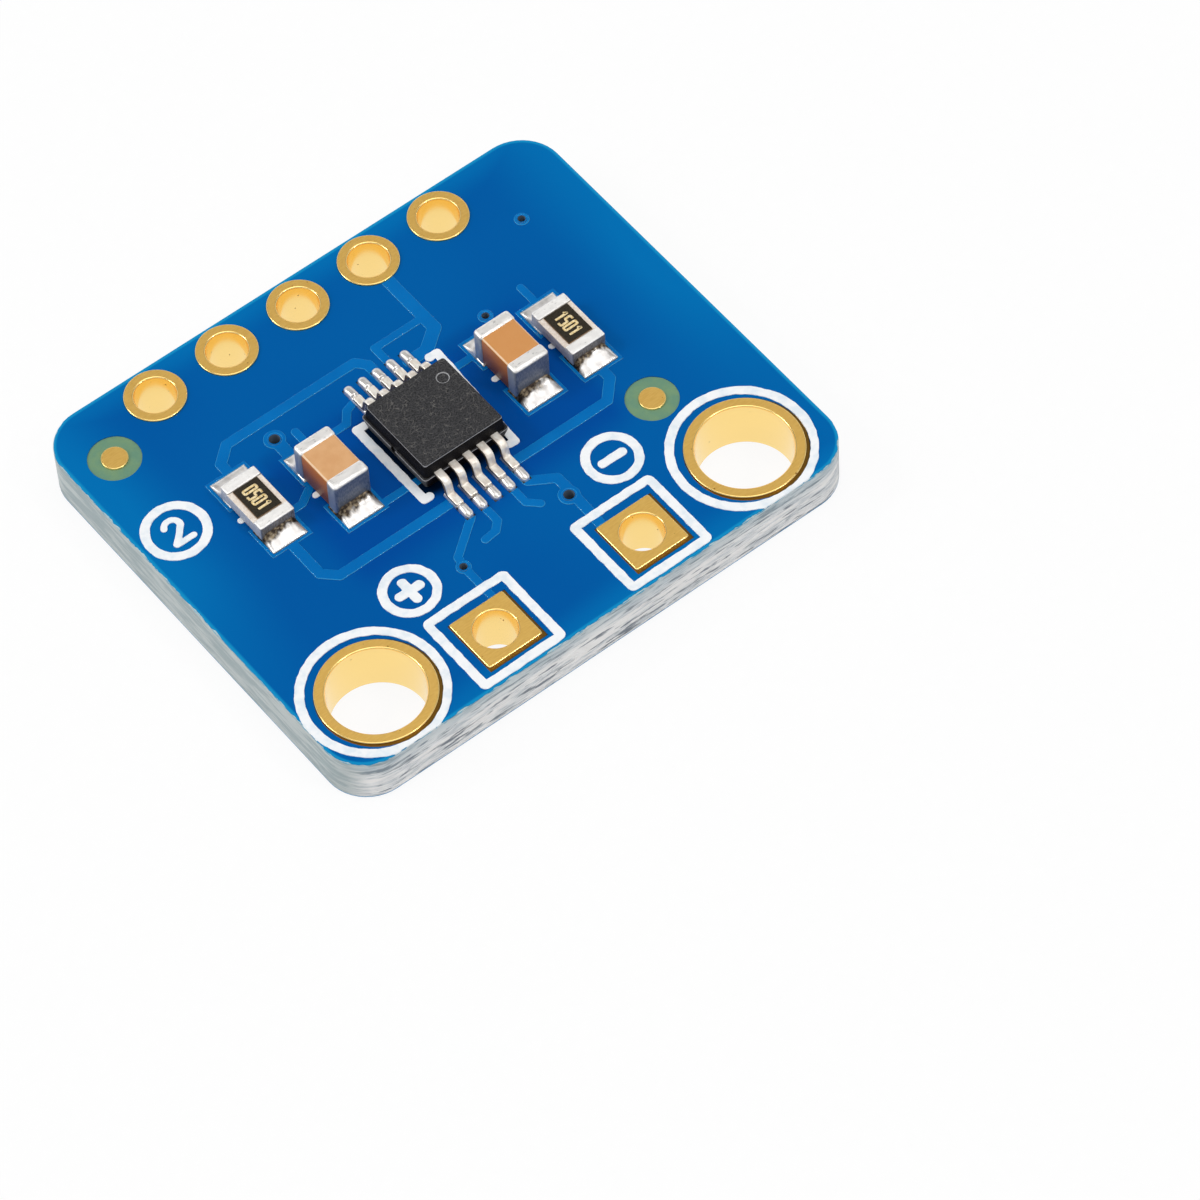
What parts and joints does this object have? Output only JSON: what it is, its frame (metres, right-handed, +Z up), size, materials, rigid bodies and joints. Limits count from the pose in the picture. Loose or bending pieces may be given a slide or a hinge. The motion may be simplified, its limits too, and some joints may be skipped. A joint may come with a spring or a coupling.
{
  "type": "motor driver module",
  "caption": "Small blue circuit board that drives a vibration motor: a driver chip with capacitors and resistors, a row of header holes, square motor pads and mounting holes.",
  "frame": {"origin": "centre of the board's outline, on the plane that the underside rings rest on", "axes": "+X along the header row, +Y towards the header edge, +Z up from the component side"},
  "size_m": [0.0178, 0.0152, 0.0029],
  "materials": {
    "laminate": "glass-epoxy laminate with a sawn, fibrous edge",
    "solder_mask": "dark blue epoxy film, glossy",
    "masked_copper": "copper under blue film, lighter than the film beside it",
    "print": "white ink",
    "gold_plate": "gold over nickel and copper, satin",
    "tin_lead": "tin-plated strip, satin",
    "solder": "reflowed solder, bright",
    "mould_compound": "black moulding compound, fine grain",
    "capacitor_ceramic": "tan fired ceramic",
    "terminal_plate": "tin over nickel, fine grained",
    "alumina": "white fired alumina",
    "overcoat": "black glass overcoat"
  },
  "bodies": {
    "root": {"pcb_laminate": "laminate", "top_mask": "solder_mask", "bottom_mask": "solder_mask", "silkscreen": "print", "tracks": "masked_copper", "header_hole_1": "gold_plate", "header_hole_2": "gold_plate", "header_hole_3": "gold_plate", "header_hole_4": "gold_plate", "header_hole_5": "gold_plate", "mount_hole_left": "gold_plate", "mount_hole_right": "gold_plate", "motor_pad_plus": "gold_plate", "motor_pad_minus": "gold_plate", "fiducial_left": "gold_plate", "fiducial_right": "gold_plate", "vias": "masked_copper", "chip_body": "mould_compound", "chip_lead_1": "tin_lead", "chip_lead_2": "tin_lead", "chip_lead_3": "tin_lead", "chip_lead_4": "tin_lead", "chip_lead_5": "tin_lead", "chip_lead_6": "tin_lead", "chip_lead_7": "tin_lead", "chip_lead_8": "tin_lead", "chip_lead_9": "tin_lead", "chip_lead_10": "tin_lead", "chip_lands": "solder", "chip_solder": "solder", "passive_lands": "solder", "capacitor_left_body": "capacitor_ceramic", "capacitor_right_body": "capacitor_ceramic", "resistor_left_substrate": "alumina", "resistor_right_substrate": "alumina", "resistor_left_coat": "overcoat", "resistor_right_coat": "overcoat", "capacitor_left_terminal_back": "terminal_plate", "capacitor_left_terminal_front": "terminal_plate", "capacitor_right_terminal_back": "terminal_plate", "capacitor_right_terminal_front": "terminal_plate", "resistor_left_terminal_back": "terminal_plate", "resistor_left_terminal_front": "terminal_plate", "resistor_right_terminal_back": "terminal_plate", "resistor_right_terminal_front": "terminal_plate", "capacitor_left_solder_back": "solder", "capacitor_left_solder_front": "solder", "capacitor_right_solder_back": "solder", "capacitor_right_solder_front": "solder", "resistor_left_solder_back": "solder", "resistor_left_solder_front": "solder", "resistor_right_solder_back": "solder", "resistor_right_solder_front": "solder"}
  },
  "joints": []
}
